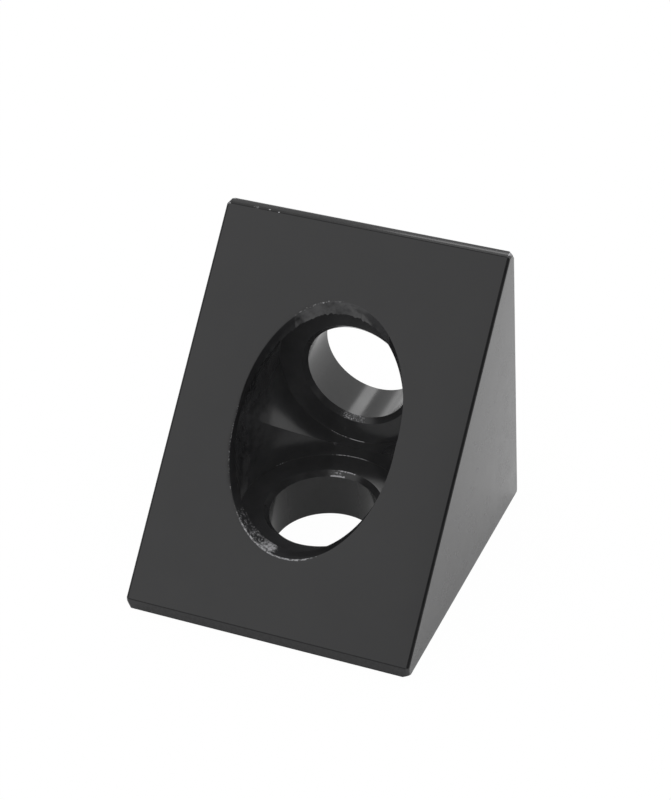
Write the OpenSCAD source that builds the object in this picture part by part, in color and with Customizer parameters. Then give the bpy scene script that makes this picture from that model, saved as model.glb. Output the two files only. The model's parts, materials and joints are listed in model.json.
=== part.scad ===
// Corner bracket for T slot framing: one wedge-shaped block of black anodised aluminium.
// It stands on its bottom leg face with +Z up. The origin is the middle of that face, where
// the bottom screw hole comes out. The back leg face is upright and looks along +Y.

/* [Block] */
// Width of the block, across the slope
block_w = 20; // [18:0.5:30]
// Length of each leg face, from the right-angle corner to the nose
leg_l = 20; // [18:0.5:30]
// Height of the blunt flat at the end of each leg
nose_t = 0.9; // [0.6:0.1:2]

/* [Screw holes] */
// Diameter of each screw's clearance hole
bore_d = 7.3; // [5.5:0.1:7.6]
// Diameter of each counterbore for a screw's head
head_d = 11.2; // [10.2:0.1:12]
// Metal left between a leg face and the seat that the screw's head bears on
seat_t = 3.6; // [2.5:0.1:3.8]
// Width of the chamfer where each clearance hole meets its seat
mouth_break = 0.4; // [0.1:0.05:0.5]
// Depth of that chamfer
mouth_depth = 0.4; // [0.2:0.05:0.8]
// Chamfer where each clearance hole comes out of its leg face
lip_break = 0.05; // [0.05:0.05:0.3]

/* [Edges] */
// Radius of the right-angle corner, which clears the fillet in a frame's corner
heel_r = 0.7; // [0.4:0.1:2]
// Corner cut along the outer end of each leg face
nose_break = 0.2; // [0.1:0.05:0.25]
// Corner cut along the two ends of the slope
ridge_break = 0.05; // [0.05:0.05:0.2]
// Chamfer round the two side faces
side_break = 0.3; // [0.1:0.05:0.35]
// Chamfer between the slope and the side faces
slope_break = 0.2; // [0.1:0.05:0.35]
// Chamfer at both ends of each nose
corner_break = 0.42; // [0.32:0.05:0.57]

/* [Hidden] */
$fn = 96;

// Sideways and upward places, with the screw holes in the middle of each leg face
side_x = block_w / 2;
heel_y = leg_l / 2;
toe_y = -leg_l / 2;
back_hole_z = leg_l / 2;
// How far a cutting tool starts outside the metal
clear = 1;
// How far two cuts that meet run into each other
overlap = 0.1;

// Corners of the side view as [y, z], and the cut at each, from the heel round to the toe
corners = [
    [heel_y, 0],
    [heel_y, leg_l],
    [heel_y - nose_t, leg_l],
    [toe_y, nose_t],
    [toe_y, 0]
];
cuts = [0, nose_break, ridge_break, ridge_break, nose_break];
// The chamfer along each side of the outline that starts at the same corner
breaks = [side_break, corner_break, slope_break, corner_break, side_break];

function next(i) = (i + 1) % len(corners);
function last(i) = (i + len(corners) - 1) % len(corners);

// The point on the way from a to b, at a distance from a
function step_to(a, b, distance) = a + (b - a) / norm(b - a) * distance;

// The side view with its corners cut, and the heel left sharp until it is rounded
outline = [
    for (i = [0:len(corners) - 1])
        each (cuts[i] == 0
            ? [corners[i]]
            : [step_to(corners[i], corners[last(i)], cuts[i]), step_to(corners[i], corners[next(i)], cuts[i])])
];

// A prism across the width with the side view as its section
module wedge() {
    translate([-side_x, 0, 0])
        rotate([90, 0, 90])
            linear_extrude(block_w)
                polygon(outline);
}

// A square bar along the edge from a to b, turned so that one face cuts the chamfer
module chamfer_bar(a, b, width) {
    run = b - a;
    middle = (a + b) / 2;
    translate([0, middle.x, middle.y])
        rotate([atan2(run.y, run.x), 0, 0])
            rotate([0, 45, 0])
                cube([width * sqrt(2), norm(run) + 2 * clear, width * sqrt(2)], center = true);
}

// The chamfers round both side faces, along each side of the outline
module side_chamfers() {
    for (side = [-1, 1], i = [0:len(corners) - 1])
        translate([side * side_x, 0, 0])
            chamfer_bar(corners[i], corners[next(i)], breaks[i]);
}

// A round bar along the heel, with its ends tapered by the chamfer of the side faces
module heel_bar() {
    straight = block_w - 2 * side_break;
    taper = side_break + overlap;
    rotate([0, 90, 0])
        cylinder(r = heel_r, h = straight, center = true);
    for (side = [-1, 1])
        translate([side * straight / 2, 0, 0])
            rotate([0, side * 90, 0])
                cylinder(r1 = heel_r, r2 = heel_r - taper, h = taper);
}

// What is taken off the sharp heel to leave it round
module heel_waste() {
    difference() {
        translate([-side_x - clear, heel_y - heel_r, -clear])
            cube([block_w + 2 * clear, heel_r + clear, heel_r + clear]);
        translate([0, heel_y - heel_r, heel_r])
            heel_bar();
    }
}

// A cone that opens upwards from a bore's edge, by its width over its depth, and runs on past its mouth
module countersink(width, depth) {
    reach = (depth + overlap) / depth;
    cylinder(d1 = bore_d, d2 = bore_d + 2 * width * reach, h = depth * reach);
}

// The tool path of one screw hole: bored up from a leg face, counterbored down from the slope
module screw_hole() {
    translate([0, 0, -clear])
        cylinder(d = bore_d, h = seat_t + 2 * clear);
    translate([0, 0, lip_break])
        mirror([0, 0, 1])
            countersink(lip_break, lip_break);
    translate([0, 0, seat_t - mouth_depth])
        countersink(mouth_break, mouth_depth);
    translate([0, 0, seat_t])
        cylinder(d = head_d, h = leg_l);
}

// The whole bracket: a wedge with broken edges and two screw holes that open into each other
module corner_bracket() {
    color("#2a2a2c")
        difference() {
            wedge();
            side_chamfers();
            heel_waste();
            screw_hole();
            translate([0, heel_y, back_hole_z])
                rotate([90, 0, 0])
                    screw_hole();
        }
}

corner_bracket();
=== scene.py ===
"""Looks of a solid inside corner bracket for T slot framing, in black anodised aluminium.

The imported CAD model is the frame. The bracket is built again here as one closed mesh of the same sizes, with
the rounded edges, filleted seats and uneven bored edges of the real one. Its lengths are in millimetres until
the mesh is whole, and then in metres.
"""

import json
import logging
import math
from dataclasses import dataclass
from enum import Enum

import bmesh
import bpy
from mathutils import Matrix, Vector

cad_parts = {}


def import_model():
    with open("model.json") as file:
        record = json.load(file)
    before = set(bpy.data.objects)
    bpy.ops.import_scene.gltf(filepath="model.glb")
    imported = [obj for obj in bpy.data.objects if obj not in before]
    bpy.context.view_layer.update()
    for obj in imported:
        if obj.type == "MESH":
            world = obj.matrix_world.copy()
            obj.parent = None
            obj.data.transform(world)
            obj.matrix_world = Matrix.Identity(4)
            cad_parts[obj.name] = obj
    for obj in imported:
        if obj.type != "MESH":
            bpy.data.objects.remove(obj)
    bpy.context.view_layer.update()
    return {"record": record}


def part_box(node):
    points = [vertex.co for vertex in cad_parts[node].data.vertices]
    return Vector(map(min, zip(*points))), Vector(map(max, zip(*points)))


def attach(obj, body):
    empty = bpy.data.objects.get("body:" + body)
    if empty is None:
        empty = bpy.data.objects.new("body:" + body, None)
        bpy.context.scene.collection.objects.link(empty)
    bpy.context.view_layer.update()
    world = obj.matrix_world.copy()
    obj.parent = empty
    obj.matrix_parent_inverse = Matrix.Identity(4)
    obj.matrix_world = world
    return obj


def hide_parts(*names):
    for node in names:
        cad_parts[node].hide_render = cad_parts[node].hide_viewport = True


LOG = logging.getLogger("bracket")

# Short names for types that occur often
Tree = bpy.types.NodeTree
Socket = bpy.types.NodeSocket
Row = list[bmesh.types.BMVert]

MM = 0.001
BODY = "root"
NODE = "corner_bracket"
SLOT = "black_anodised"


class Surface(Enum):
    """How each part of the bracket's surface was made, and where it gets painted shade, in the order of its
    material slots.
    """

    EXTRUDED = 0
    SAWN = 1
    EDGE = 2
    DRILLED = 3
    MOUTH = 4
    SEAT = 5
    BORED = 6
    RIM = 7
    CORNER = 8
    FILLET = 9
    NOSE = 10
    SHADED_WALL_END = 11


def linear(hex_colour: str) -> tuple[float, float, float, float]:
    """Turns an sRGB colour into the linear one that a shader takes.

    Args:
        hex_colour: the colour as "#rrggbb".

    Returns:
        Red, green, blue and an alpha of 1.
    """
    levels = [int(hex_colour[i : i + 2], 16) / 255 for i in (1, 3, 5)]
    # The sRGB curve is straight near black, and a power of 2.4 above that.
    red, green, blue = (c / 12.92 if c <= 0.04045 else ((c + 0.055) / 1.055) ** 2.4 for c in levels)
    return red, green, blue, 1.0


def empty_tree(owner: bpy.types.Material | bpy.types.World) -> Tree:
    """Gives a material or a world its own node tree.

    Args:
        owner: the material or the world.

    Returns:
        The tree, with no nodes in it.
    """
    owner.use_nodes = True
    owner.node_tree.nodes.clear()
    return owner.node_tree


def add_node(
    tree: Tree,
    kind: str,
    settings: dict[str, object] | None = None,
    inputs: dict[str | int, object] | None = None,
) -> bpy.types.Node:
    """Adds one node to a tree, with its settings and its inputs.

    Args:
        tree: the shader or geometry tree.
        kind: the node's type.
        settings: values for the node's own properties.
        inputs: for each input, by name or number, the socket that feeds it or its fixed value.

    Returns:
        The new node.
    """
    node = tree.nodes.new(kind)
    for name, value in (settings or {}).items():
        setattr(node, name, value)
    for name, value in (inputs or {}).items():
        if isinstance(value, Socket):
            tree.links.new(value, node.inputs[name])
        else:
            node.inputs[name].default_value = value
    return node


def settle(piece: bpy.types.Object) -> None:
    """Replaces a piece's mesh by what its modifiers make of it, and removes them.

    Args:
        piece: the object with live modifiers.
    """
    depsgraph = bpy.context.evaluated_depsgraph_get()
    rough = piece.data
    piece.data = bpy.data.meshes.new_from_object(
        piece.evaluated_get(depsgraph), preserve_all_data_layers=True, depsgraph=depsgraph
    )
    piece.modifiers.clear()
    bpy.data.meshes.remove(rough)
    piece.data.name = piece.name


def new_object(name: str, data: bpy.types.ID) -> bpy.types.Object:
    """Puts an object in the scene, at the origin.

    Args:
        name: its name.
        data: its mesh, lamp or camera.

    Returns:
        The object.
    """
    piece = bpy.data.objects.new(name, data)
    bpy.context.scene.collection.objects.link(piece)
    return piece


@dataclass(frozen=True)
class Zone:
    """A place on the bracket for wear, a painted highlight or painted shade, which fades out from half of its
    reach.

    Attributes:
        middle: its middle, in millimetres.
        reach: how far from there the wear ends.
        share: how strong the mark is in the middle, from 0 to 1.
    """

    middle: tuple[float, float, float]
    reach: float
    share: float

    def wear(self, point: Vector) -> float:
        """Returns how strong the mark is at a point of the mesh."""
        distance = (point - Vector(self.middle)).length
        return self.share * min(1.0, max(0.0, 2 - 2 * distance / self.reach))

    def mask(self, tree: Tree, place: Socket) -> Socket:
        """Makes the same mark as a pattern.

        Args:
            tree: the material's node tree.
            place: the point on the surface.

        Returns:
            The socket that gives how strong the mark is there.
        """
        distance = add_node(
            tree, "ShaderNodeVectorMath", {"operation": "DISTANCE"}, {0: place, 1: Vector(self.middle) * MM}
        ).outputs["Value"]
        reach = self.reach * MM
        return add_node(
            tree,
            "ShaderNodeMapRange",
            inputs={"Value": distance, "From Min": reach, "From Max": reach / 2, "To Max": self.share},
        ).outputs["Result"]


def edge_highlight_zones(radius: float, height: float, places: tuple[float, ...], reach: float) -> tuple[Zone, ...]:
    """Places painted highlights along the far edge of a ring round the bottom hole.

    Args:
        radius: the ring's radius.
        height: its height.
        places: where along x the highlights are.
        reach: how far each goes.

    Returns:
        The highlight places.
    """
    return tuple(Zone((x, math.sqrt(radius**2 - x**2), height), reach, share=1.0) for x in places)


# The opening's edge has bare metal at the lower left, with a few chips above that and at the top: partly wear,
# and partly painted glints.
RIM_WEAR_AND_GLINTS = (
    Zone((-1.3, -6.25, 4.62), reach=4.6, share=0.64),
    Zone((-5.4, -2.0, 8.9), reach=4.5, share=0.42),
    Zone((-1.8, 5.3, 16.2), reach=2.6, share=0.42),
)


@dataclass(frozen=True)
class WearAndPaintedLight:
    """Places with specks or patches of another colour, and that colour: bare metal, as wear in some finishes
    and as a painted highlight in others, and a darker film as painted shade.

    Attributes:
        zones: the places.
        speck_mm: distance between specks.
        colour: sRGB colour of the bare aluminium, or of the painted shade.
        haze: how softly a speck fades into the film, from near 0 to about 0.5.
    """

    zones: tuple[Zone, ...]
    speck_mm: float = 0.1
    colour: str = "#b4b4b6"
    haze: float = 0.08

    def mask(self, tree: Tree, place: Socket) -> Socket:
        """Makes the pattern of the specks.

        Args:
            tree: the material's node tree.
            place: the point on the surface.

        Returns:
            The socket that gives 1 on a speck, and 0 on the sound film.
        """
        marked = 0.0
        for zone in self.zones:
            marked = add_node(
                tree, "ShaderNodeMath", {"operation": "MAXIMUM"}, {0: marked, 1: zone.mask(tree, place)}
            ).outputs["Value"]
        grain = add_node(
            tree,
            "ShaderNodeTexNoise",
            inputs={"Vector": place, "Scale": 1 / (self.speck_mm * MM), "Detail": 3.0, "Roughness": 0.7},
        ).outputs["Fac"]
        # The pattern stays between the lowest and the highest grain, so the film is whole where marked is 0.
        lowest, highest = 0.25, 0.75
        spared = add_node(
            tree, "ShaderNodeMapRange", inputs={"Value": marked, "To Min": highest, "To Max": lowest}
        ).outputs["Result"]
        over = add_node(
            tree, "ShaderNodeMath", {"operation": "SUBTRACT"}, {0: grain, 1: spared}
        ).outputs["Value"]
        return add_node(
            tree, "ShaderNodeMapRange", inputs={"Value": over, "From Min": 0.0, "From Max": self.haze}
        ).outputs["Result"]

    def over(self, tree: Tree, film: Socket, mask: Socket) -> Socket:
        """Lays the worn colour over the film's.

        Args:
            tree: the material's node tree.
            film: the film's colour.
            mask: the pattern of the specks.

        Returns:
            The socket that gives the colour of both.
        """
        return add_node(
            tree, "ShaderNodeMix", {"data_type": "RGBA"}, {"Factor": mask, 6: film, 7: linear(self.colour)}
        ).outputs[2]


@dataclass(frozen=True)
class Finish:
    """A black anodised finish, over metal that was shaped in one way.

    Attributes:
        making: how the metal was shaped, or where, which ends the material's name.
        dark: sRGB colour of the dyed film.
        pale: sRGB colour where the film is thinner or the metal below is rougher.
        roughness: roughness of the smoothest and of the roughest places.
        mottle_mm: width of the cloudy patches.
        mark_mm: distance between tool marks.
        mark_depth_mm: depth of the tool marks.
        ior: the film's index of refraction.
        specular: how well the film reflects, where 0.5 is all that its index gives.
        grooved: how far the finest marks draw a highlight out across them, from 0 to 1.
        stretch: how the tool marks run, as the scale of their pattern along x, y and z.
        cloud_span: the noise up to which the film is dark, and the noise from which it is pale.
        rubbed_and_glints: where bare metal shows through the film, as wear in some finishes and as a painted
            highlight in others.
        painted_shade: where painted shade gives the film a darker colour and takes its reflection away.
    """

    making: str
    dark: str
    pale: str
    roughness: tuple[float, float]
    mottle_mm: float = 0.8
    mark_mm: float = 0.12
    mark_depth_mm: float = 0.001
    ior: float = 1.5
    specular: float = 0.5
    grooved: float = 0.0
    stretch: tuple[float, float, float] = (1.0, 1.0, 1.0)
    cloud_span: tuple[float, float] = (0.3, 0.7)
    rubbed_and_glints: WearAndPaintedLight | None = None
    painted_shade: WearAndPaintedLight | None = None

    def material(self) -> bpy.types.Material:
        """Builds the material: a dyed oxide film, which looks like a satin dielectric and not like metal.

        Returns:
            The new material.
        """
        material = bpy.data.materials.new(f"{SLOT}_{self.making}")
        tree = empty_tree(material)
        place = add_node(tree, "ShaderNodeTexCoord").outputs["Object"]
        mottle = add_node(
            tree,
            "ShaderNodeTexNoise",
            inputs={"Vector": place, "Scale": 1 / (self.mottle_mm * MM), "Detail": 4.0, "Roughness": 0.6},
        ).outputs["Fac"]
        dark_to, pale_from = self.cloud_span
        cloud = add_node(
            tree, "ShaderNodeMapRange", inputs={"Value": mottle, "From Min": dark_to, "From Max": pale_from}
        ).outputs["Result"]
        marks = self.marks(tree, place)
        rough = add_node(
            tree,
            "ShaderNodeMapRange",
            inputs={"Value": cloud, "To Min": self.roughness[0], "To Max": self.roughness[1]},
        ).outputs["Result"]
        bump = add_node(
            tree,
            "ShaderNodeBump",
            inputs={"Height": marks, "Distance": self.mark_depth_mm * MM, "Strength": 1.0},
        ).outputs["Normal"]
        looks = {
            "Roughness": rough,
            "IOR": self.ior,
            "Specular IOR Level": self.specular,
            "Normal": bump,
        } | self.tint(tree, place, cloud)
        if self.grooved:
            across = add_node(tree, "ShaderNodeAttribute", {"attribute_name": "along"}).outputs["Vector"]
            looks |= {"Anisotropic": self.grooved, "Tangent": across}
        shader = add_node(tree, "ShaderNodeBsdfPrincipled", inputs=looks).outputs["BSDF"]
        add_node(tree, "ShaderNodeOutputMaterial", inputs={"Surface": shader})
        return material

    def tint(self, tree: Tree, place: Socket, cloud: Socket) -> dict[str, object]:
        """Makes the colour, and what goes with it under painted shade and where bare metal shows, as wear in
        some finishes and as a painted highlight in others.

        Args:
            tree: the material's node tree.
            place: the point on the surface.
            cloud: the cloudy pattern, from 0 to 1.

        Returns:
            The shader inputs that this sets.
        """
        colour = add_node(
            tree,
            "ShaderNodeMix",
            {"data_type": "RGBA"},
            {"Factor": cloud, 6: linear(self.dark), 7: linear(self.pale)},
        ).outputs[2]
        looks = {}
        # Painted shade: a darker film that reflects nothing where its zones lie.
        if self.painted_shade:
            shade_mask = self.painted_shade.mask(tree, place)
            colour = self.painted_shade.over(tree, colour, shade_mask)
            looks["Specular IOR Level"] = add_node(
                tree, "ShaderNodeMapRange", inputs={"Value": shade_mask, "To Min": self.specular, "To Max": 0.0}
            ).outputs["Result"]
        # Bare metal: wear in some finishes, and a painted highlight in others.
        if self.rubbed_and_glints:
            bare = self.rubbed_and_glints.mask(tree, place)
            colour = self.rubbed_and_glints.over(tree, colour, bare)
            looks["Metallic"] = bare
        return looks | {"Base Color": colour}

    def marks(self, tree: Tree, place: Socket) -> Socket:
        """Makes the height of the tool marks.

        Args:
            tree: the material's node tree.
            place: the point on the surface.

        Returns:
            The socket that gives the height, from 0 to 1.
        """
        drawn = add_node(
            tree,
            "ShaderNodeMapping",
            inputs={"Vector": place, "Scale": Vector(self.stretch) / (self.mark_mm * MM)},
        ).outputs["Vector"]
        return add_node(
            tree, "ShaderNodeTexNoise", inputs={"Vector": drawn, "Scale": 1.0, "Detail": 3.0}
        ).outputs["Fac"]


@dataclass(frozen=True)
class BoredFinish(Finish):
    """A finish whose tool marks follow the boring tool's path, in the mesh's own "feed" attribute.

    Attributes:
        wander: how fast the marks change round the hole, as a part of how fast they change along the feed.
    """

    wander: float = 0.04

    def marks(self, tree: Tree, place: Socket) -> Socket:
        """Makes the height of the feed marks: a fine uneven screw of grooves.

        Args:
            tree: the material's node tree.
            place: the point on the surface.

        Returns:
            The socket that gives the height, from 0 to 1.
        """
        feed = add_node(tree, "ShaderNodeAttribute", {"attribute_name": "feed"}).outputs["Fac"]
        along = add_node(tree, "ShaderNodeCombineXYZ", inputs={"X": feed}).outputs["Vector"]
        wander = add_node(
            tree,
            "ShaderNodeVectorMath",
            {"operation": "MULTIPLY_ADD"},
            {0: place, 1: (self.wander,) * 3, 2: along},
        ).outputs["Vector"]
        return add_node(
            tree,
            "ShaderNodeTexNoise",
            inputs={"Vector": wander, "Scale": 1 / (self.mark_mm * MM), "Detail": 3.0},
        ).outputs["Fac"]


# A dyed anodic film reflects like a clear varnish, whatever the metal below: weakly head on, and strongly at
# a low angle.
FINISHES = {
    # Extruded bar, brushed and anodised: a flat dark satin with hardly a mark.
    Surface.EXTRUDED: Finish(
        "extruded", "#1e1e1f", "#212122", roughness=(0.34, 0.38), mottle_mm=3.0, mark_mm=0.25,
        mark_depth_mm=0.0004, stretch=(0.05, 1.0, 1.0),
    ),
    # Sawn and sanded side: the same black, a little cloudy, with faint upright streaks.
    Surface.SAWN: Finish(
        "sawn", "#232324", "#303031", roughness=(0.2, 0.3), mottle_mm=1.6, mark_mm=0.45, ior=1.93,
        stretch=(1.0, 1.0, 0.15),
    ),
    # Filed corners: a deep black that reflects little, as painted shade, so each edge is a dark line, with a
    # few bright metal specks.
    Surface.EDGE: Finish(
        "edge", "#131314", "#19191a", roughness=(0.3, 0.4), mark_mm=0.2, specular=0.2,
        rubbed_and_glints=WearAndPaintedLight(
            (
                Zone((-9.8, 9.1, 20.0), reach=0.14, share=0.9),
                Zone((-9.7, 9.7, 19.95), reach=0.14, share=0.9),
                Zone((-7.85, 9.15, 20.0), reach=0.3, share=0.45),
                Zone((-6.9, 9.2, 20.0), reach=0.09, share=1.0),
                Zone((-6.2, 9.1, 20.0), reach=0.09, share=0.9),
            ),
            colour="#9a9a9c",
        ),
    ),
    # Inside the holes and the pocket the reamed, countersunk, faced and counterbored finishes are lighter
    # blacks than the outside: painted light that makes up for the shade there.
    # Drilled and reamed walls: the smoothest of all, so they mirror what stands behind them in soft stripes.
    Surface.DRILLED: BoredFinish(
        "reamed", "#292a2a", "#2e2e2f", roughness=(0.16, 0.22), mottle_mm=1.5, mark_mm=0.3,
        mark_depth_mm=0.0004, ior=1.53, grooved=0.2,
    ),
    # Countersunk mouths: cut by a chattering tool, with fine bright and dark marks side by side.
    Surface.MOUTH: BoredFinish(
        "countersunk", "#2a2a2b", "#303031", roughness=(0.16, 0.24), mottle_mm=0.4, wander=0.8,
        rubbed_and_glints=WearAndPaintedLight(
            (
                # Painted highlights: bright metal patches where a streak of light crosses both mouths
                Zone((-0.5, 6.6, 6.2), reach=1.5, share=0.42),
                Zone((-0.6, 3.8, 3.4), reach=0.6, share=0.42),
                # Painted highlights: bright metal nicks along the mouth's lower edge, and along the one where
                # it meets the seat
                *edge_highlight_zones(3.66, 3.28, (-0.94, -0.82, -0.7, -0.58, -0.46, -0.34, -0.14), reach=0.14),
                *edge_highlight_zones(3.97, 3.59, (-0.4, -0.3, -0.1, 0.1, 0.25, 0.4, 0.58), reach=0.1),
            ),
            colour="#8c8c8e",
        ),
    ),
    # Seats: faced by the counterbore's end teeth, in rings that draw a highlight out into a narrow ray.
    Surface.SEAT: BoredFinish(
        "faced", "#2e2e2f", "#343435", roughness=(0.1, 0.14), mottle_mm=1.2, mark_depth_mm=0.0004,
        grooved=0.6,
    ),
    # Counterbored walls: smooth and satin, so that each mirrors the other's bore. On the left they get painted
    # shade, a duller and darker film, and beside the edge where the two holes cross a small bright metal spot
    # as a painted highlight.
    Surface.BORED: BoredFinish(
        "counterbored", "#333334", "#39393a", roughness=(0.14, 0.2), mottle_mm=1.5,
        mark_depth_mm=0.0004, grooved=0.3, specular=0.42,
        rubbed_and_glints=WearAndPaintedLight((Zone((-1.45, 5.41, 4.59), reach=0.15, share=0.8),)),
        painted_shade=WearAndPaintedLight(
            (
                Zone((-4.3, 3.6, 14.5), reach=2.8, share=1.0),
                Zone((-0.5, 5.5, 16.2), reach=5.0, share=0.62),
                Zone((-6.8, -1.5, 7.0), reach=5.2, share=1.0),
                Zone((-6.8, 2.0, 11.5), reach=5.2, share=1.0),
            ),
            speck_mm=0.9,
            colour="#242425",
            haze=0.4,
        ),
    ),
    # Upper ends of the bored walls: painted shade as a dark, weakly reflecting film, and scratched grey where
    # a screw goes in.
    Surface.SHADED_WALL_END: Finish(
        "shaded_scuffed", "#1a1a1b", "#202021", roughness=(0.36, 0.46), mark_depth_mm=0.0004,
        specular=0.12,
        rubbed_and_glints=WearAndPaintedLight(
            (
                Zone((-1.2, -5.9, 4.5), reach=0.5, share=1.0),
                Zone((-1.3, -5.85, 4.6), reach=0.9, share=0.8),
                Zone((-2.0, -5.65, 4.8), reach=1.4, share=0.55),
                Zone((-3.0, -5.2, 5.4), reach=2.0, share=0.46),
            ),
            speck_mm=0.16,
            colour="#9c9c9e",
            haze=0.3,
        ),
    ),
    # Fillets under the seats: painted shade as a matt, weakly reflecting film, and a few bright metal arcs as
    # painted highlights where light catches them.
    Surface.FILLET: Finish(
        "fillet", "#262627", "#2c2c2d", roughness=(0.3, 0.4), mark_mm=0.2, specular=0.25,
        rubbed_and_glints=WearAndPaintedLight(
            (
                Zone((-0.25, 6.4, 4.42), reach=0.75, share=0.85),
                Zone((-1.4, 6.4, 4.6), reach=1.3, share=0.5),
                Zone((0.1, 5.6, 3.6), reach=0.9, share=0.75),
                Zone((-0.3, 5.6, 3.6), reach=1.8, share=0.6),
                Zone((-4.5, 3.3, 3.6), reach=0.7, share=0.5),
            )
        ),
    ),
    # Blunt noses: the bar's own outside, drawn through the die in fine lines along it.
    Surface.NOSE: Finish(
        "drawn", "#1c1c1d", "#29292a", roughness=(0.1, 0.15), mottle_mm=0.25,
        stretch=(0.05, 1.0, 1.0), specular=0.3,
    ),
    # Broken rim: a dark film that reflects little, as painted shade, with bare-metal specks on one side that
    # are partly chips and partly painted glints.
    Surface.RIM: Finish(
        "rim", "#1a1a1b", "#262627", roughness=(0.3, 0.4), mottle_mm=0.25, mark_depth_mm=0.004,
        rubbed_and_glints=WearAndPaintedLight(RIM_WEAR_AND_GLINTS, colour="#9a9a9c"),
    ),
    # Nose ends: tumbled round, in the same black as the faces, with a bright bare-metal spot at one corner as
    # a painted highlight.
    Surface.CORNER: Finish(
        "corner", "#161617", "#1e1e1f", roughness=(0.34, 0.42), mottle_mm=0.3, mark_mm=0.2,
        rubbed_and_glints=WearAndPaintedLight((Zone((9.8, 9.5, 19.95), reach=0.3, share=0.9),), colour="#8c8c8e"),
    ),
}


@dataclass(frozen=True)
class UnevenEdges:
    """A Geometry Nodes tree that makes the bored edges wander, as a tool leaves them.

    Each point's "wear" attribute says which way it may move, and how far as a part of the full depth.

    Attributes:
        depth_mm: how far a point moves at most.
        grain_mm: length of one dent.
        span: the noise up to which a point stays, and the noise from which it moves by all its depth.
        seed: which of the patterns is drawn.
    """

    depth_mm: float = 0.1
    grain_mm: float = 0.22
    span: tuple[float, float] = (0.35, 0.65)
    seed: float = 7.0

    def tree(self, material: bpy.types.Material) -> Tree:
        """Builds the node tree.

        Args:
            material: the finish of the broken rims.

        Returns:
            The tree, with its sizes as named inputs.
        """
        tree = bpy.data.node_groups.new("uneven_edges", "GeometryNodeTree")
        tree.interface.new_socket("Geometry", in_out="INPUT", socket_type="NodeSocketGeometry")
        for name in ("Depth", "Grain", "Seed"):
            tree.interface.new_socket(name, in_out="INPUT", socket_type="NodeSocketFloat")
        tree.interface.new_socket("Geometry", in_out="OUTPUT", socket_type="NodeSocketGeometry")
        entry = add_node(tree, "NodeGroupInput").outputs
        wear = add_node(
            tree, "GeometryNodeInputNamedAttribute", {"data_type": "FLOAT_VECTOR"}, {"Name": "wear"}
        ).outputs["Attribute"]
        fineness = add_node(
            tree, "ShaderNodeMath", {"operation": "DIVIDE"}, {0: 1.0, 1: entry["Grain"]}
        ).outputs["Value"]
        noise = add_node(
            tree,
            "ShaderNodeTexNoise",
            {"noise_dimensions": "4D"},
            {"W": entry["Seed"], "Scale": fineness, "Detail": 2.0, "Roughness": 0.6},
        ).outputs["Fac"]
        stays, moves = self.span
        travel = add_node(
            tree,
            "ShaderNodeMapRange",
            inputs={"Value": noise, "From Min": stays, "From Max": moves, "To Max": entry["Depth"]},
        ).outputs["Result"]
        offset = add_node(
            tree, "ShaderNodeVectorMath", {"operation": "SCALE"}, {"Vector": wear, "Scale": travel}
        ).outputs["Vector"]
        moved = add_node(
            tree, "GeometryNodeSetPosition", inputs={"Geometry": entry["Geometry"], "Offset": offset}
        ).outputs["Geometry"]
        rim = add_node(
            tree, "GeometryNodeInputNamedAttribute", {"data_type": "BOOLEAN"}, {"Name": "rim"}
        ).outputs["Attribute"]
        whole = add_node(tree, "GeometryNodeRealizeInstances", inputs={"Geometry": moved}).outputs["Geometry"]
        dressed = add_node(
            tree,
            "GeometryNodeSetMaterial",
            inputs={"Geometry": whole, "Selection": rim, "Material": material},
        ).outputs["Geometry"]
        add_node(tree, "NodeGroupOutput", inputs={"Geometry": dressed})
        return tree

    def apply(self, piece: bpy.types.Object, material: bpy.types.Material) -> None:
        """Runs the tree on a piece and keeps the result as its plain mesh.

        Args:
            piece: the object whose edges wander.
            material: the finish of the broken rims.
        """
        modifier = piece.modifiers.new("uneven_edges", "NODES")
        modifier.node_group = self.tree(material)
        sizes = {"Depth": self.depth_mm * MM, "Grain": self.grain_mm * MM, "Seed": self.seed}
        for socket in modifier.node_group.interface.items_tree:
            if socket.in_out == "INPUT" and socket.name in sizes:
                modifier[socket.identifier] = sizes[socket.name]
        settle(piece)


class Side(Enum):
    """The block's flat sides, each with the way it looks."""

    BOTTOM = (0.0, 0.0, -1.0)
    BACK = (0.0, 1.0, 0.0)
    SLOPE = (0.0, -1.0, 1.0)
    UPPER_NOSE = (0.0, 0.0, 1.0)
    LOWER_NOSE = (0.0, -1.0, 0.0)
    LEFT = (-1.0, 0.0, 0.0)
    RIGHT = (1.0, 0.0, 0.0)

    @property
    def normal(self) -> Vector:
        """The way it looks, as a unit vector."""
        return Vector(self.value).normalized()


# The leg faces and noses are the bar's own outside. The slope was drawn with them, and the ends were sawn.
SIDE_SURFACES = {
    Side.BOTTOM: Surface.EXTRUDED,
    Side.BACK: Surface.EXTRUDED,
    Side.SLOPE: Surface.EXTRUDED,
    Side.UPPER_NOSE: Surface.NOSE,
    Side.LOWER_NOSE: Surface.NOSE,
    Side.LEFT: Surface.SAWN,
    Side.RIGHT: Surface.SAWN,
}


class Bend(Enum):
    """The corners of the block's side view, from the heel up the back and down the slope."""

    HEEL = 0
    UPPER_TIP = 1
    UPPER_RIDGE = 2
    LOWER_RIDGE = 3
    LOWER_TIP = 4


@dataclass(frozen=True)
class Knock:
    """A small flat knocked into the end of a nose.

    Attributes:
        end: the side of the block that the nose ends in there.
        bend: which of the nose's two edges it is on.
        outward: the way the flat looks.
        depth: how far below the sharp corner it lies.
    """

    end: Side
    bend: Bend
    outward: tuple[float, float, float]
    depth: float


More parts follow.
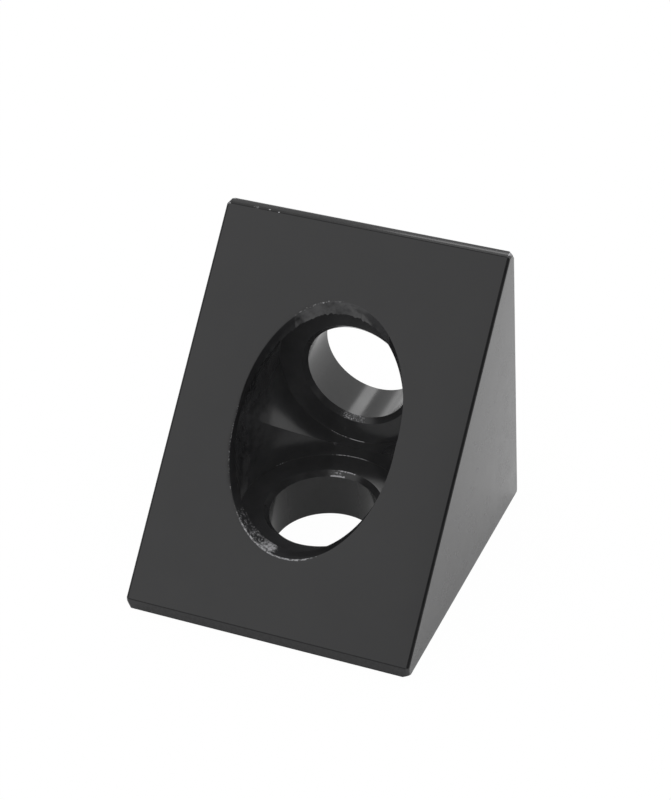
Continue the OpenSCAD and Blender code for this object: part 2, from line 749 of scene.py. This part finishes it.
@dataclass(frozen=True)
class Block:
    """The bracket's outside: a wedge with blunt noses, whose side view runs round in y and z.

    Attributes:
        width: size across the slope.
        leg: length of each leg face.
        nose: height of the blunt flat at the end of each leg.
        heel_round: radius of the right-angle corner.
        side_round: rounding between the side faces and the legs and noses.
        slope_round: rounding between the side faces and the slope.
        nose_rounds: rounding along the outer edge of the upper nose, and of the lower one.
        ridge_round: rounding between a nose and the slope.
        end_round: rounding at both ends of each nose.
        knocks: the flats knocked into the noses' ends, two of them at the upper left.
        shade: width of the strip of painted shade on the upper nose, beside the slope.
        round_steps: how many faces make a rounding.
        flatness: least cosine between a face and the side that it belongs to.
    """

    width: float
    leg: float
    nose: float = 0.9
    heel_round: float = 0.7
    side_round: float = 0.2
    slope_round: float = 0.18
    nose_rounds: tuple[float, float] = (0.36, 0.2)
    ridge_round: float = 0.04
    end_round: float = 0.2
    knocks: tuple[Knock, ...] = (
        Knock(Side.LEFT, Bend.UPPER_RIDGE, (-0.813, 0.098, 0.576), depth=0.0835),
        Knock(Side.LEFT, Bend.UPPER_TIP, (-0.453, 0.437, 0.777), depth=0.2409),
        Knock(Side.RIGHT, Bend.UPPER_TIP, (0.614, 0.656, 0.436), depth=0.3264),
        Knock(Side.RIGHT, Bend.LOWER_TIP, (0.451, -0.439, -0.777), depth=0.2822),
        Knock(Side.LEFT, Bend.LOWER_TIP, (-0.744, -0.602, -0.297), depth=0.2683),
    )
    shade: float = 0.24
    round_steps: int = 5
    flatness: float = 0.9999

    @property
    def widest(self) -> float:
        """The widest rounding, which the others are given as parts of."""
        return max(self.heel_round, self.end_round, *self.nose_rounds)

    @property
    def shade_end(self) -> float:
        """Where in y the strip of painted shade on the upper nose ends."""
        return self.leg / 2 - self.nose + self.shade

    def corners(self) -> dict[Bend, tuple[float, float]]:
        """Places the side view's corners.

        Returns:
            Each corner as (y, z), in order.
        """
        half = self.leg / 2
        return {
            Bend.HEEL: (half, 0.0),
            Bend.UPPER_TIP: (half, self.leg),
            Bend.UPPER_RIDGE: (half - self.nose, self.leg),
            Bend.LOWER_RIDGE: (-half, self.nose),
            Bend.LOWER_TIP: (-half, 0.0),
        }

    def opened_sides(self) -> dict[Side, Vector]:
        """Names the sides that the holes open in.

        Returns:
            Each of them with a point in its plane.
        """
        corners = self.corners()
        heel = Vector((0.0, *corners[Bend.HEEL]))
        ridge = Vector((0.0, *corners[Bend.LOWER_RIDGE]))
        return {Side.BOTTOM: heel, Side.BACK: heel, Side.SLOPE: ridge}

    def side_of(self, normal: Vector) -> Side | None:
        """Returns the flat side that a face with this normal belongs to, or None on a rounding or a knock."""
        return next((side for side in Side if normal.dot(side.normal) > self.flatness), None)

    def surface_at(self, middle: Vector, side: Side | None) -> Surface:
        """Tells what made a face of the outside.

        Args:
            middle: the face's middle.
            side: the flat side that it belongs to, if it does.

        Returns:
            The surface.
        """
        # The strip beside the slope takes the dark edge finish, as painted shade.
        if side is Side.UPPER_NOSE and middle.y < self.shade_end:
            return Surface.EDGE
        if side:
            return SIDE_SURFACES[side]
        at_tip = max(middle.z, self.leg / 2 - middle.y) > self.leg - self.nose / 2
        at_end = abs(middle.x) > self.width / 2 - self.widest
        return Surface.CORNER if at_tip and at_end else Surface.EDGE

    def shell(self) -> bpy.types.Mesh:
        """Builds the rounded wedge with its knocked corners, and with no holes yet.

        Returns:
            The mesh, in millimetres.
        """
        mesh = self.rounded_wedge()
        bm = bmesh.new()
        bm.from_mesh(mesh)
        for knock in self.knocks:
            self.cut_knock(bm, knock)
        bmesh.ops.recalc_face_normals(bm, faces=bm.faces)
        self.part_nose(bm)
        bm.to_mesh(mesh)
        bm.free()
        return mesh

    def rounded_wedge(self) -> bpy.types.Mesh:
        """Builds the wedge and rounds its edges.

        Returns:
            The mesh, in millimetres.
        """
        bm = bmesh.new()
        weight = bm.edges.layers.float.new("bevel_weight_edge")
        corners = list(self.corners().values())
        left, right = (
            [bm.verts.new((side * self.width / 2, y, z)) for y, z in corners] for side in (-1, 1)
        )
        bm.faces.new(left)
        bm.faces.new(right[::-1])
        upper_nose, lower_nose = self.nose_rounds
        across = [self.heel_round, upper_nose, self.ridge_round, self.ridge_round, lower_nose]
        along = [self.side_round, self.end_round, self.slope_round, self.end_round, self.side_round]
        for i in range(len(corners)):
            j = (i + 1) % len(corners)
            bm.faces.new((left[j], left[i], right[i], right[j]))
            bm.edges.get((left[i], right[i]))[weight] = across[i] / self.widest
            for row in (left, right):
                bm.edges.get((row[i], row[j]))[weight] = along[i] / self.widest
        bmesh.ops.recalc_face_normals(bm, faces=bm.faces)
        mesh = bpy.data.meshes.new("wedge")
        bm.to_mesh(mesh)
        bm.free()
        piece = new_object("wedge", mesh)
        bevel = piece.modifiers.new("rounding", "BEVEL")
        bevel.limit_method = "WEIGHT"
        bevel.width = self.widest
        bevel.segments = self.round_steps
        bevel.use_clamp_overlap = False
        settle(piece)
        rounded = piece.data
        bpy.data.objects.remove(piece)
        return rounded

    def cut_knock(self, bm: bmesh.types.BMesh, knock: Knock) -> None:
        """Cuts one knock and closes it with its flat.

        Args:
            bm: the rounded wedge.
            knock: where the flat lies.
        """
        outward = Vector(knock.outward).normalized()
        sharp = Vector((knock.end.normal.x * self.width / 2, *self.corners()[knock.bend]))
        cut = bmesh.ops.bisect_plane(
            bm,
            geom=[*bm.verts, *bm.edges, *bm.faces],
            plane_co=sharp - outward * knock.depth,
            plane_no=outward,
            clear_outer=True,
        )
        rim = [part for part in cut["geom_cut"] if isinstance(part, bmesh.types.BMEdge)]
        bmesh.ops.edgeloop_fill(bm, edges=rim)

    def part_nose(self, bm: bmesh.types.BMesh) -> None:
        """Parts the upper nose along the edge of its strip of painted shade.

        Args:
            bm: the rounded wedge.
        """
        nose = [face for face in bm.faces if self.side_of(face.normal) is Side.UPPER_NOSE]
        edges = dict.fromkeys(edge for face in nose for edge in face.edges)
        verts = dict.fromkeys(vert for face in nose for vert in face.verts)
        bmesh.ops.bisect_plane(
            bm, geom=[*nose, *edges, *verts], plane_co=(0.0, self.shade_end, 0.0), plane_no=Side.BACK.normal
        )


@dataclass(frozen=True)
class ScrewHole:
    """The bottom screw hole, as far as the block's middle plane. The back hole is its mirror image.

    Attributes:
        bore_r: radius of the clearance hole.
        seat: height of the seat over the leg face.
        middle: height at which the two holes' axes cross.
        nose: height of the block's blunt noses.
        head_r: radius of the counterbore.
        mouth_break: width of the chamfer where the clearance hole meets the seat.
        mouth_depth: depth of that chamfer.
        lip: chamfer where the clearance hole comes out of the leg face.
        fillet: radius between the seat and the counterbore's wall.
        rim_break: width of the broken edge round the opening in the slope, on the wall and on the slope.
        collar: width of the strip of slope round that edge.
        seam_row: distance from the crossing edge to the next row of points.
        wall_rows: where rows lie on the way from the fillet up to that row.
        band_rows: where rows lie on the way from the crossing edge up to the slope.
        steps: how many points go round the hole.
        tail_steps: how many more lie between the half turn and each end of the opening's upper half.
        fillet_steps: how many strips make the fillet.
        break_steps: how many strips make the broken edge.
        wall_wander: how far the broken edge may wander on the wall, as a part of the full depth.
        rim_wander: how far it may wander between the wall and the slope.
    """

    bore_r: float
    seat: float
    middle: float
    nose: float
    head_r: float = 5.6
    mouth_break: float = 0.33
    mouth_depth: float = 0.33
    lip: float = 0.05
    fillet: float = 0.03
    rim_break: float = 0.045
    collar: float = 0.3
    seam_row: float = 0.12
    wall_rows: tuple[float, ...] = (0.35, 0.7, 1.0)
    band_rows: tuple[float, ...] = (0.2, 0.6, 1.0)
    steps: int = 384
    tail_steps: int = 5
    fillet_steps: int = 4
    break_steps: int = 4
    wall_wander: float = 0.4
    rim_wander: float = 0.6

    def profile(self) -> list[tuple[float, float, Surface]]:
        """Gives the hole's section from its lip to the foot of the counterbore's wall.

        Returns:
            For each row of points above the lip its radius, its height and what made the strip below it.
        """
        rows = [
            (self.bore_r, self.lip, Surface.MOUTH),
            (self.bore_r, self.seat - self.mouth_depth, Surface.DRILLED),
            (self.bore_r + self.mouth_break, self.seat, Surface.MOUTH),
            (self.head_r - self.fillet, self.seat, Surface.SEAT),
        ]
        for i in range(1, self.fillet_steps + 1):
            turn = math.pi / 2 * i / self.fillet_steps
            radius = self.head_r - self.fillet * (1 - math.sin(turn))
            rows.append((radius, self.seat + self.fillet * (1 - math.cos(turn)), Surface.FILLET))
        return rows

    def end_angle(self, drop: float) -> float:
        """Returns the angle at which the wall's upper band ends, if its edge is a drop below the slope."""
        return math.asin((drop - self.nose) / 2 / self.head_r)

    def angles(self) -> list[float]:
        """Returns the angles round the hole, symmetric about both axes, from 0 to a full turn."""
        return [2 * math.pi * i / self.steps for i in range(self.steps)]

    def rim_angles(self) -> list[float]:
        """Gives the angles along the opening's upper half, which reaches a little past the half turn.

        Returns:
            The angles, from the right end to the left.
        """
        end = self.end_angle(self.rim_break)
        tail = [end * (1 - i / self.tail_steps) for i in range(self.tail_steps)]
        arc = self.angles()[: self.steps // 2 + 1]
        return tail + arc + [math.pi - a for a in reversed(tail)]

    @staticmethod
    def around(radius: float, angles: list[float], heights: list[float]) -> list[Vector]:
        """Returns the points at these angles and heights, at one distance from the hole's axis."""
        return [Vector((radius * math.cos(a), radius * math.sin(a), h)) for a, h in zip(angles, heights)]

    def crossing(self, angle: float, above: bool) -> float:
        """Returns the height at which the wall crosses the other hole's, below or above the middle."""
        rise = self.head_r * abs(math.sin(angle))
        return self.middle + (rise if above else -rise)

    def slope_height(self, y: float) -> float:
        """Returns the slope's height over a place in y."""
        return y + self.middle + self.nose

    def rim_point(self, angle: float, at_end: bool) -> Vector:
        """Gives the sharp corner between the wall and the slope.

        Args:
            angle: angle round the hole.
            at_end: whether this is where the two holes' rims meet.

        Returns:
            The corner point.
        """
        if at_end:
            angle = self.end_angle(0.0) if math.cos(angle) > 0 else math.pi - self.end_angle(0.0)
        y = self.head_r * math.sin(angle)
        return Vector((self.head_r * math.cos(angle), y, self.slope_height(y)))

    def outward(self, angle: float, at_end: bool) -> Vector:
        """Gives the direction away from the opening, in the slope.

        Args:
            angle: angle round the hole.
            at_end: whether this is where the two holes' rims meet.

        Returns:
            A unit vector.
        """
        if at_end:
            return Vector((math.copysign(1.0, math.cos(angle)), 0, 0))
        return Vector((math.cos(angle), math.sin(angle) / 2, math.sin(angle) / 2)).normalized()


class Skin:
    """The bracket's mesh while it is put together, with what each point and face needs to be dressed."""

    def __init__(self) -> None:
        """Starts with no points."""
        self.bm = bmesh.new()
        self.wear = self.bm.verts.layers.float_vector.new("wear")
        self.feed = self.bm.verts.layers.float.new("feed")
        self.along = self.bm.loops.layers.float_vector.new("along")

    def row(self, points: list[Vector], feeds: list[float], wears: list[Vector] | None = None) -> Row:
        """Adds a row of points.

        Args:
            points: where they are.
            feeds: how far the tool had come at each, for its marks.
            wears: which way each may wander, if it does.

        Returns:
            The new points, in the same order.
        """
        row = []
        for i, point in enumerate(points):
            vert = self.bm.verts.new(point)
            vert[self.feed] = feeds[i] * MM
            vert[self.wear] = wears[i] if wears else Vector()
            row.append(vert)
        return row

    def bridge(self, low: Row, high: Row, surface: Surface, closed: bool) -> None:
        """Fills the strip between two rows with faces.

        Args:
            low: one row.
            high: the other, with as many points.
            surface: what made this strip.
            closed: whether the strip goes all the way round.
        """
        count = len(low)
        for i in range(count if closed else count - 1):
            j = (i + 1) % count
            face = self.bm.faces.new((low[i], low[j], high[j], high[i]))
            face.material_index = surface.value
            ways = [(high[k].co - low[k].co).normalized() for k in (i, j)]
            for loop, way in zip(face.loops, (ways[0], ways[1], ways[1], ways[0])):
                loop[self.along] = way


@dataclass(frozen=True)
class Bracket:
    """The whole bracket: the rounded wedge, opened where the two screw holes and the slope's opening are.

    Attributes:
        block: the outside.
        hole: the bottom hole.
        edges: how the bored edges wander.
        weld: points closer than this are one.
        smooth_angle: edges sharper than this, in degrees, show as edges.
        unshaded_half: how far to each side of the middle the bottom hole's wall keeps its glossy finish up to
            its top, with painted shade beyond.
        seam_fade: where along x the torn top of the crossing edge starts to fade, and where it ends.
    """

    block: Block
    hole: ScrewHole
    edges: UnevenEdges
    weld: float = 0.001
    smooth_angle: float = 30.0
    unshaded_half: float = 3.3
    seam_fade: tuple[float, float] = (1.0, 2.5)

    def build(self) -> bpy.types.Object:
        """Builds the mesh and dresses it.

        Returns:
            The finished object, in metres.
        """
        skin = Skin()
        self.add_hole(skin)
        self.add_rim(skin)
        self.add_mirror_image(skin)
        self.shade_wall_ends(skin)
        self.add_outside(skin)
        bmesh.ops.remove_doubles(skin.bm, verts=skin.bm.verts, dist=self.weld)
        self.place_wear(skin)
        self.close_planes(skin)
        bmesh.ops.recalc_face_normals(skin.bm, faces=skin.bm.faces)
        open_edges = sum(not edge.is_manifold for edge in skin.bm.edges)
        LOG.info("%s: %d open edges", NODE, open_edges)
        bmesh.ops.scale(skin.bm, vec=(MM, MM, MM), verts=skin.bm.verts)
        mesh = bpy.data.meshes.new("bracket")
        skin.bm.to_mesh(mesh)
        skin.bm.free()
        return self.dress(mesh)

    def add_hole(self, skin: Skin) -> None:
        """Adds the bottom hole from its mouth to where it crosses the back hole.

        Args:
            skin: the mesh so far.
        """
        hole = self.hole
        angles = hole.angles()
        radius = hole.bore_r + hole.lip
        height = 0.0
        travel = 0.0
        last = skin.row(hole.around(radius, angles, [height] * hole.steps), [travel] * hole.steps)
        for next_radius, next_height, surface in hole.profile():
            travel += math.dist((radius, height), (next_radius, next_height))
            radius, height = next_radius, next_height
            row = skin.row(hole.around(radius, angles, [height] * hole.steps), [travel] * hole.steps)
            skin.bridge(last, row, surface, closed=True)
            last = row
        foot = height
        tops = [hole.crossing(a, above=False) for a in angles]
        rings = [[foot + (top - hole.seam_row - foot) * share for top in tops] for share in hole.wall_rows]
        for heights in (*rings, tops):
            row = skin.row(hole.around(hole.head_r, angles, heights), [travel + h - foot for h in heights])
            skin.bridge(last, row, Surface.BORED, closed=True)
            last = row

    def add_rim(self, skin: Skin) -> None:
        """Adds the wall's upper band and the broken edge round the upper half of the opening.

        Args:
            skin: the mesh so far.
        """
        hole = self.hole
        angles = hole.rim_angles()
        ends = [i in (0, len(angles) - 1) for i in range(len(angles))]
        lows = [hole.crossing(a, above=True) for a in angles]
        highs = [hole.slope_height(hole.head_r * math.sin(a)) - hole.rim_break for a in angles]
        down = [Vector((0, 0, 0 if end else -hole.wall_wander)) for end in ends]
        last = skin.row(hole.around(hole.head_r, angles, lows), lows)
        for share in hole.band_rows:
            heights = [low + (high - low) * share for low, high in zip(lows, highs)]
            points = hole.around(hole.head_r, angles, heights)
            row = skin.row(points, heights, down if share == 1 else None)
            skin.bridge(last, row, Surface.BORED, closed=False)
            last = row
        wall_edge = hole.around(hole.head_r, angles, highs)
        corner = [hole.rim_point(a, end) for a, end in zip(angles, ends)]
        away = [hole.outward(a, end) for a, end in zip(angles, ends)]
        # The broken edge bends from the wall into the slope as a parabola, towards the sharp corner.
        for i in range(1, hole.break_steps + 1):
            t = i / hole.break_steps
            points = [
                p * (1 - t) ** 2 + c * 2 * t * (1 - t) + (c + w * hole.rim_break) * t**2
                for p, c, w in zip(wall_edge, corner, away)
            ]
            ways = [w - Side.SLOPE.normal for w in away] if t < 1 else away
            row = skin.row(points, highs, [w.normalized() * hole.rim_wander for w in ways])
            skin.bridge(last, row, Surface.RIM, closed=False)
            last = row
        points = [c + w * hole.collar for c, w in zip(corner, away)]
        skin.bridge(last, skin.row(points, highs), Surface.EXTRUDED, closed=False)

    def add_mirror_image(self, skin: Skin) -> None:
        """Adds the back hole, which is the bottom hole with the block's two legs swapped.

        Args:
            skin: the mesh so far.
        """
        middle = self.hole.middle
        swap = Matrix(((1, 0, 0, 0), (0, 0, -1, middle), (0, -1, 0, middle), (0, 0, 0, 1)))
        turn = swap.to_3x3()
        copied = bmesh.ops.duplicate(skin.bm, geom=[*skin.bm.verts, *skin.bm.edges, *skin.bm.faces])
        for item in copied["geom"]:
            if isinstance(item, bmesh.types.BMVert):
                item.co = swap @ item.co
                item[skin.wear] = turn @ item[skin.wear]
            if isinstance(item, bmesh.types.BMFace):
                for loop in item.loops:
                    loop[skin.along] = turn @ loop[skin.along]

    def shade_wall_ends(self, skin: Skin) -> None:
        """Gives the walls' upper ends, past the edge where the two holes cross, a dark, weakly reflecting
        finish as painted shade.

        Args:
            skin: the mesh so far.
        """
        crossing = Vector((0, 0, self.hole.middle))
        for face in skin.bm.faces:
            x, y, z = face.calc_center_median() - crossing
            lower_half = -y > abs(z)
            upper_half = z > abs(y)
            shaded = lower_half or (upper_half and abs(x) > self.unshaded_half)
            if shaded and face.material_index == Surface.BORED.value:
                face.material_index = Surface.SHADED_WALL_END.value

    def add_outside(self, skin: Skin) -> None:
        """Adds the rounded wedge without the three faces that the holes open in.

        Args:
            skin: the mesh so far.
        """
        block = self.block
        shell = block.shell()
        known = set(skin.bm.faces)
        skin.bm.from_mesh(shell)
        bpy.data.meshes.remove(shell)
        opened_sides = block.opened_sides()
        opened = []
        for face in skin.bm.faces:
            if face not in known:
                side = block.side_of(face.normal)
                face.material_index = block.surface_at(face.calc_center_median(), side).value
                if side in opened_sides:
                    opened.append(face)
        bmesh.ops.delete(skin.bm, geom=opened, context="FACES_ONLY")

    def place_wear(self, skin: Skin) -> None:
        """Keeps the rim's wear to the places of its zones, and adds the torn top of the edge where the holes
        cross.

        Args:
            skin: the mesh so far, with its doubles merged.
        """
        head_r = self.hole.head_r
        crossing = Vector((0, 0, self.hole.middle))
        torn_to, sharp_from = self.seam_fade
        for vert in skin.bm.verts:
            vert[skin.wear] *= max(zone.wear(vert.co) for zone in RIM_WEAR_AND_GLINTS)
            x, y, z = vert.co - crossing
            on_seam = abs(y - z) < self.weld and abs(math.hypot(x, y) - head_r) < self.weld
            if on_seam and y > 0:
                fade = min(1.0, max(0.0, (sharp_from - x) / (sharp_from - torn_to)))
                vert[skin.wear] = -Vector((x, y, z)) / head_r * fade

    def close_planes(self, skin: Skin) -> None:
        """Fills the bottom, the back and the slope between their outlines and their holes.

        Args:
            skin: the mesh so far.
        """
        for side, place in self.block.opened_sides().items():
            normal = side.normal
            edges = [
                edge
                for edge in skin.bm.edges
                if edge.is_boundary and all(abs((v.co - place).dot(normal)) < self.weld for v in edge.verts)
            ]
            filled = bmesh.ops.triangle_fill(skin.bm, use_beauty=True, edges=edges, normal=normal)
            for item in filled["geom"]:
                if isinstance(item, bmesh.types.BMFace):
                    item.material_index = SIDE_SURFACES[side].value

    def dress(self, mesh: bpy.types.Mesh) -> bpy.types.Object:
        """Gives the mesh its materials, marks its sharp edges and lets its bored edges wander.

        Args:
            mesh: the closed mesh, in metres.

        Returns:
            The finished object.
        """
        rim = mesh.attributes.new("rim", "BOOLEAN", "FACE")
        flat = {surface.value for surface in SIDE_SURFACES.values()}
        for i, face in enumerate(mesh.polygons):
            rim.data[i].value = face.material_index == Surface.RIM.value
            face.use_smooth = face.material_index not in flat
        mesh.set_sharp_from_angle(angle=math.radians(self.smooth_angle))
        for surface in Surface:
            mesh.materials.append(FINISHES[surface].material())
        piece = new_object("bracket_block", mesh)
        self.edges.apply(piece, mesh.materials[Surface.RIM.value])
        return piece


@dataclass(frozen=True)
class Softbox:
    """A large square lamp that looks at the bracket.

    Attributes:
        name: the lamp's name.
        towards: where it hangs, as a direction from the bracket.
        spread: how wide it looks from the bracket, in degrees.
        brightness: how bright it looks, where 1 is the white sky.
        distance: how far off it hangs, in metres.
    """

    name: str
    towards: tuple[float, float, float]
    spread: float
    brightness: float
    distance: float = 0.7

    def build(self) -> None:
        """Hangs the lamp."""
        place = Vector(self.towards).normalized() * self.distance
        side = 2 * self.distance * math.tan(math.radians(self.spread) / 2)
        light = bpy.data.lights.new(self.name, "AREA")
        light.shape = "SQUARE"
        light.size = side
        # A flat lamp gives pi times its brightness for each square metre.
        light.energy = self.brightness * math.pi * side**2
        lamp = new_object(self.name, light)
        lamp.matrix_world = Matrix.Translation(place) @ place.to_track_quat("Z", "Y").to_matrix().to_4x4()


@dataclass(frozen=True)
class Card:
    """A card darker or brighter than the sky, which the bracket mirrors and which casts no light on it.

    Attributes:
        towards: where it stands, as a direction from the bracket.
        level: its brightness, where 1 is the white sky.
        edges: angles from its middle up to which it has that level and from which the sky shows, in degrees.
    """

    towards: tuple[float, float, float]
    level: float
    edges: tuple[float, float]

    def shade(self, tree: Tree, way: Socket) -> Socket:
        """Makes the brightness of what is seen in each direction.

        Args:
            tree: the world's node tree.
            way: the direction.

        Returns:
            The socket that gives the card's brightness, and 1 beside it.
        """
        nearness = add_node(
            tree,
            "ShaderNodeVectorMath",
            {"operation": "DOT_PRODUCT"},
            {0: way, 1: Vector(self.towards).normalized()},
        ).outputs["Value"]
        inner, outer = (math.cos(math.radians(angle)) for angle in self.edges)
        return add_node(
            tree,
            "ShaderNodeMapRange",
            {"interpolation_type": "SMOOTHSTEP"},
            {"Value": nearness, "From Min": outer, "From Max": inner, "To Min": 1.0, "To Max": self.level},
        ).outputs["Result"]


@dataclass(frozen=True)
class Studio:
    """A white floor under an open white sky, with a soft lamp behind and cards that only reflections show.

    Attributes:
        floor_side: side of the floor, in metres.
        floor_gap_mm: how far the floor lies under the bracket, so that the two don't touch.
        glow: share of the floor's white that the object's shadow can't darken, where it is seen.
        glow_in_gloss: the same share where the floor is reflected.
        sky_level: brightness of the sky that lights matt surfaces.
        white: sRGB colour of the floor and of the sky.
        cards: what is reflected in front of the sky.
        softboxes: the lamps.
    """

    floor_side: float = 4.0
    floor_gap_mm: float = 0.02
    glow: float = 0.985
    glow_in_gloss: float = 0.2
    sky_level: float = 1.0
    white: str = "#ffffff"
    cards: tuple[Card, ...] = (
        Card((-0.53, 0.73, 0.43), level=0.75, edges=(10.0, 15.0)),
        Card((-0.69, 0.72, 0.03), level=1.5, edges=(6.0, 12.0)),
        Card((0.8, -0.25, 0.5), level=0.15, edges=(24.0, 40.0)),
        Card((0.45, -0.65, 0.6), level=0.1, edges=(22.0, 25.0)),
    )
    softboxes: tuple[Softbox, ...] = (
        Softbox("back_softbox", (-0.155, 0.725, 0.67), spread=17.0, brightness=2.7),
    )

    def build(self) -> None:
        """Builds the floor, the sky and the lamps."""
        self.floor()
        self.sky()
        for softbox in self.softboxes:
            softbox.build()

    @staticmethod
    def seen(tree: Tree) -> Socket:
        """Tells rays that see, reflect or refract from those that light a matt surface.

        Args:
            tree: the floor's or the sky's node tree.

        Returns:
            The socket that gives 1 to the first, and 0 to the others.
        """
        path = add_node(tree, "ShaderNodeLightPath").outputs
        mirrored = add_node(
            tree,
            "ShaderNodeMath",
            {"operation": "MAXIMUM"},
            {0: path["Is Glossy Ray"], 1: path["Is Transmission Ray"]},
        ).outputs["Value"]
        return add_node(
            tree, "ShaderNodeMath", {"operation": "MAXIMUM"}, {0: path["Is Camera Ray"], 1: mirrored}
        ).outputs["Value"]

    def floor(self) -> None:
        """Builds the floor and marks it as not part of the object."""
        half = self.floor_side / 2
        level = -self.floor_gap_mm * MM
        mesh = bpy.data.meshes.new("floor")
        mesh.from_pydata(
            [(-half, -half, level), (half, -half, level), (half, half, level), (-half, half, level)],
            [],
            [(0, 1, 2, 3)],
        )
        material = bpy.data.materials.new("matt_white_paper")
        tree = empty_tree(material)
        direct = add_node(tree, "ShaderNodeLightPath").outputs["Is Camera Ray"]
        strongest = add_node(
            tree,
            "ShaderNodeMapRange",
            inputs={"Value": direct, "To Min": self.glow_in_gloss, "To Max": self.glow},
        ).outputs["Result"]
        share = add_node(
            tree, "ShaderNodeMath", {"operation": "MULTIPLY"}, {0: self.seen(tree), 1: strongest}
        ).outputs["Value"]
        paper = add_node(
            tree, "ShaderNodeBsdfDiffuse", inputs={"Color": linear(self.white)}
        ).outputs["BSDF"]
        white = add_node(
            tree, "ShaderNodeEmission", inputs={"Color": linear(self.white), "Strength": 1.0}
        ).outputs["Emission"]
        mixed = add_node(tree, "ShaderNodeMixShader", inputs={0: share, 1: paper, 2: white}).outputs["Shader"]
        add_node(tree, "ShaderNodeOutputMaterial", inputs={"Surface": mixed})
        mesh.materials.append(material)
        new_object("floor", mesh)

    def sky(self) -> None:
        """Makes the sky: white where it is seen, and with the cards in front of it where it is reflected."""
        world = bpy.data.worlds.new("open_white_sky")
        bpy.context.scene.world = world
        tree = empty_tree(world)
        way = add_node(tree, "ShaderNodeTexCoord").outputs["Generated"]
        shade = 1.0
        for card in self.cards:
            shade = add_node(
                tree, "ShaderNodeMath", {"operation": "MULTIPLY"}, {0: shade, 1: card.shade(tree, way)}
            ).outputs["Value"]
        direct = add_node(tree, "ShaderNodeLightPath").outputs["Is Camera Ray"]
        mirrored = add_node(
            tree, "ShaderNodeMapRange", inputs={"Value": direct, "To Min": shade, "To Max": 1.0}
        ).outputs["Result"]
        level = add_node(
            tree,
            "ShaderNodeMapRange",
            inputs={"Value": self.seen(tree), "To Min": self.sky_level, "To Max": mirrored},
        ).outputs["Result"]
        light = add_node(
            tree, "ShaderNodeBackground", inputs={"Color": linear(self.white), "Strength": level}
        ).outputs["Background"]
        add_node(tree, "ShaderNodeOutputWorld", inputs={"Surface": light})


@dataclass(frozen=True)
class PhotoCamera:
    """The camera at the photograph's viewing angle.

    Attributes:
        azimuth: degrees that the camera stands to the right of the front.
        elevation: degrees that it stands above the floor.
        roll: degrees that it is turned about its own axis.
        distance_mm: how far it stands from the point it looks at.
        target_mm: that point.
        lens_mm: focal length.
        frame_mm: length of the camera's frame, along the photograph's longer side.
        nearest_mm: how near it can see.
    """

    azimuth: float = 25.36
    elevation: float = 37.32
    roll: float = 3.614
    distance_mm: float = 176.73
    target_mm: tuple[float, float, float] = (1.367, 0.0, 12.918)
    lens_mm: float = 123.98
    frame_mm: float = 36.0
    nearest_mm: float = 10.0

    def build(self) -> None:
        """Places the camera and makes it the scene's own."""
        elevation = math.radians(self.elevation)
        round_z = Matrix.Rotation(math.radians(self.azimuth), 3, "Z")
        right = round_z @ Vector((1, 0, 0))
        back = round_z @ Vector((0, -math.cos(elevation), math.sin(elevation)))
        up = back.cross(right)
        turn = Matrix((right, up, back)).transposed() @ Matrix.Rotation(-math.radians(self.roll), 3, "Z")
        data = bpy.data.cameras.new("photo_camera")
        data.lens = self.lens_mm
        data.sensor_width = self.frame_mm
        data.clip_start = self.nearest_mm * MM
        camera = new_object("photo_camera", data)
        place = (Vector(self.target_mm) + back * self.distance_mm) * MM
        camera.matrix_world = Matrix.Translation(place) @ turn.to_4x4()
        bpy.context.scene.camera = camera


def mount(record: dict, name: str) -> dict:
    """Returns the record's mount of that name."""
    return next(m for m in record["mounts"] if m["name"] == name)


def main() -> None:
    """Builds the bracket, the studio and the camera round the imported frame."""
    logging.basicConfig(level=logging.INFO, format="%(message)s")
    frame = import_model()
    bpy.context.scene.view_settings.view_transform = "Standard"
    low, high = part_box(NODE)
    block = Block(width=(high.x - low.x) / MM, leg=(high.z - low.z) / MM)
    hole = ScrewHole(
        bore_r=mount(frame["record"], "bottom_bore")["dims"]["r_mm"],
        seat=mount(frame["record"], "bottom_seat")["pos_m"][2] / MM,
        middle=block.leg / 2,
        nose=block.nose,
    )
    piece = Bracket(block, hole, UnevenEdges()).build()
    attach(piece, BODY)
    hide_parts(NODE)
    LOG.info("%s: %d faces", piece.name, len(piece.data.polygons))
    Studio().build()
    PhotoCamera().build()


if __name__ == "__main__":
    main()
